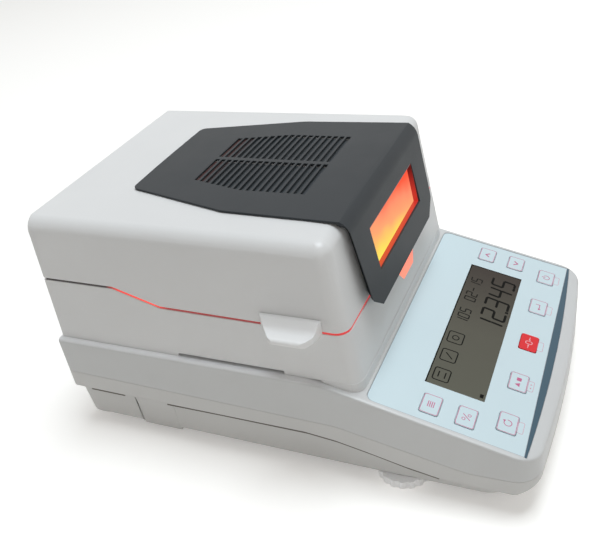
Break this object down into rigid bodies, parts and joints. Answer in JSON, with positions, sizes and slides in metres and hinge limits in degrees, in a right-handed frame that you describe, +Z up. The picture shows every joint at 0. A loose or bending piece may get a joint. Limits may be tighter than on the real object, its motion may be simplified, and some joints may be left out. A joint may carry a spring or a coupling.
{
  "type": "moisture analyzer",
  "caption": "Benchtop moisture analyzer: balance case with sloping keypad and display, heating chamber and a hinged halogen lid with vented dark cover and lit window.",
  "frame": {"origin": "middle of the footprint, on the table under the feet", "axes": "+Z up; the control panel is at -Y and the lid's hinge at +Y; +X is to the right of a user who faces the panel"},
  "size_m": [0.2276, 0.336, 0.1752],
  "materials": {
    "white_shell": "fine satin moulded ABS",
    "grey_shell": "fine satin moulded ABS",
    "dark_cover": "satin dark grey paint",
    "overlay": "pale blue printed film",
    "stripe": "slate blue printed film",
    "display": "grey display window",
    "key_pale": "pale film key",
    "key_red": "red film key",
    "board": "green circuit board",
    "steel": "brushed stainless steel",
    "alloy": "satin aluminium",
    "brass": "turned brass",
    "rubber": "black rubber",
    "black_plastic": "black moulded plastic",
    "ceramic": "white ceramic",
    "window": "clear glass, lit orange from behind",
    "lamp": "quartz lamp tube",
    "vial": "green spirit level vial",
    "foot": "milky translucent plastic",
    "winding": "wound transformer with laminated core"
  },
  "bodies": {
    "base": {"bottom_case": "grey_shell", "top_case": "white_shell", "chamber_housing": "white_shell", "keypad_overlay": "overlay", "front_stripe": "stripe", "display_window": "display", "display_module": "board", "keypad_board": "board", "main_board": "board", "board_spacers": "brass", "power_board": "board", "transformer": "winding", "power_inlet": "black_plastic", "inlet_contacts": "steel", "serial_port": "steel", "switch_frame": "black_plastic", "load_cell_bracket": "alloy", "load_cell": "alloy", "pan_support": "steel", "sample_pan": "alloy", "wind_shield": "steel", "well_plate": "steel", "bubble_level": "vial", "foot_inserts": "brass", "rear_feet": "rubber", "case_screws": "steel", "hinge_pins": "steel", "lid_buffers": "rubber"},
    "lid": {"lid_shell": "white_shell", "lid_cover": "dark_cover", "window_glass": "window", "lid_liner": "steel", "reflector": "alloy", "halogen_lamps": "lamp", "lamp_sockets": "ceramic", "temperature_sensor": "steel", "handle_left": "white_shell", "handle_right": "white_shell", "lid_screws": "steel"},
    "key_menu": {"key_menu": "key_pale"},
    "key_unit": {"key_unit": "key_pale"},
    "key_up": {"key_up": "key_pale"},
    "key_down": {"key_down": "key_pale"},
    "key_reset": {"key_reset": "key_pale"},
    "key_start": {"key_start": "key_pale"},
    "key_tare": {"key_tare": "key_red"},
    "key_enter": {"key_enter": "key_pale"},
    "key_power": {"key_power": "key_pale"},
    "level_foot_left": {"level_foot_left": "foot"},
    "level_foot_right": {"level_foot_right": "foot"},
    "power_rocker": {"power_rocker": "black_plastic"}
  },
  "joints": [
    {"name": "lid_hinge", "type": "hinge", "parent": "base", "child": "lid", "pos_m": [0, 0.16462, 0.1264], "axis": [-1, 0, 0], "range_deg": [0, 80]},
    {"name": "key_menu_press", "type": "slide", "parent": "base", "child": "key_menu", "axis": [0, 0.247, -0.969], "range_m": [0, 0.0005], "stiffness_N_per_m": 3000, "springref_m": -0.0002},
    {"name": "key_unit_press", "type": "slide", "parent": "base", "child": "key_unit", "axis": [0, 0.247, -0.969], "range_m": [0, 0.0005], "stiffness_N_per_m": 3000, "springref_m": -0.0002},
    {"name": "key_up_press", "type": "slide", "parent": "base", "child": "key_up", "axis": [0, 0.247, -0.969], "range_m": [0, 0.0005], "stiffness_N_per_m": 3000, "springref_m": -0.0002},
    {"name": "key_down_press", "type": "slide", "parent": "base", "child": "key_down", "axis": [0, 0.247, -0.969], "range_m": [0, 0.0005], "stiffness_N_per_m": 3000, "springref_m": -0.0002},
    {"name": "key_reset_press", "type": "slide", "parent": "base", "child": "key_reset", "axis": [0, 0.247, -0.969], "range_m": [0, 0.0005], "stiffness_N_per_m": 3000, "springref_m": -0.0002},
    {"name": "key_start_press", "type": "slide", "parent": "base", "child": "key_start", "axis": [0, 0.247, -0.969], "range_m": [0, 0.0005], "stiffness_N_per_m": 3000, "springref_m": -0.0002},
    {"name": "key_tare_press", "type": "slide", "parent": "base", "child": "key_tare", "axis": [0, 0.247, -0.969], "range_m": [0, 0.0005], "stiffness_N_per_m": 3000, "springref_m": -0.0002},
    {"name": "key_enter_press", "type": "slide", "parent": "base", "child": "key_enter", "axis": [0, 0.247, -0.969], "range_m": [0, 0.0005], "stiffness_N_per_m": 3000, "springref_m": -0.0002},
    {"name": "key_power_press", "type": "slide", "parent": "base", "child": "key_power", "axis": [0, 0.247, -0.969], "range_m": [0, 0.0005], "stiffness_N_per_m": 3000, "springref_m": -0.0002},
    {"name": "level_foot_left_turn", "type": "hinge", "parent": "base", "child": "level_foot_left", "pos_m": [-0.084, -0.0775, 0.003], "axis": [0, 0, 1], "continuous": true},
    {"name": "level_foot_right_turn", "type": "hinge", "parent": "base", "child": "level_foot_right", "pos_m": [0.084, -0.0775, 0.003], "axis": [0, 0, 1], "continuous": true},
    {"name": "power_rocker_tilt", "type": "hinge", "parent": "base", "child": "power_rocker", "pos_m": [-0.022, 0.1635, 0.06365], "axis": [1, 0, 0], "range_deg": [0, 18]}
  ]
}
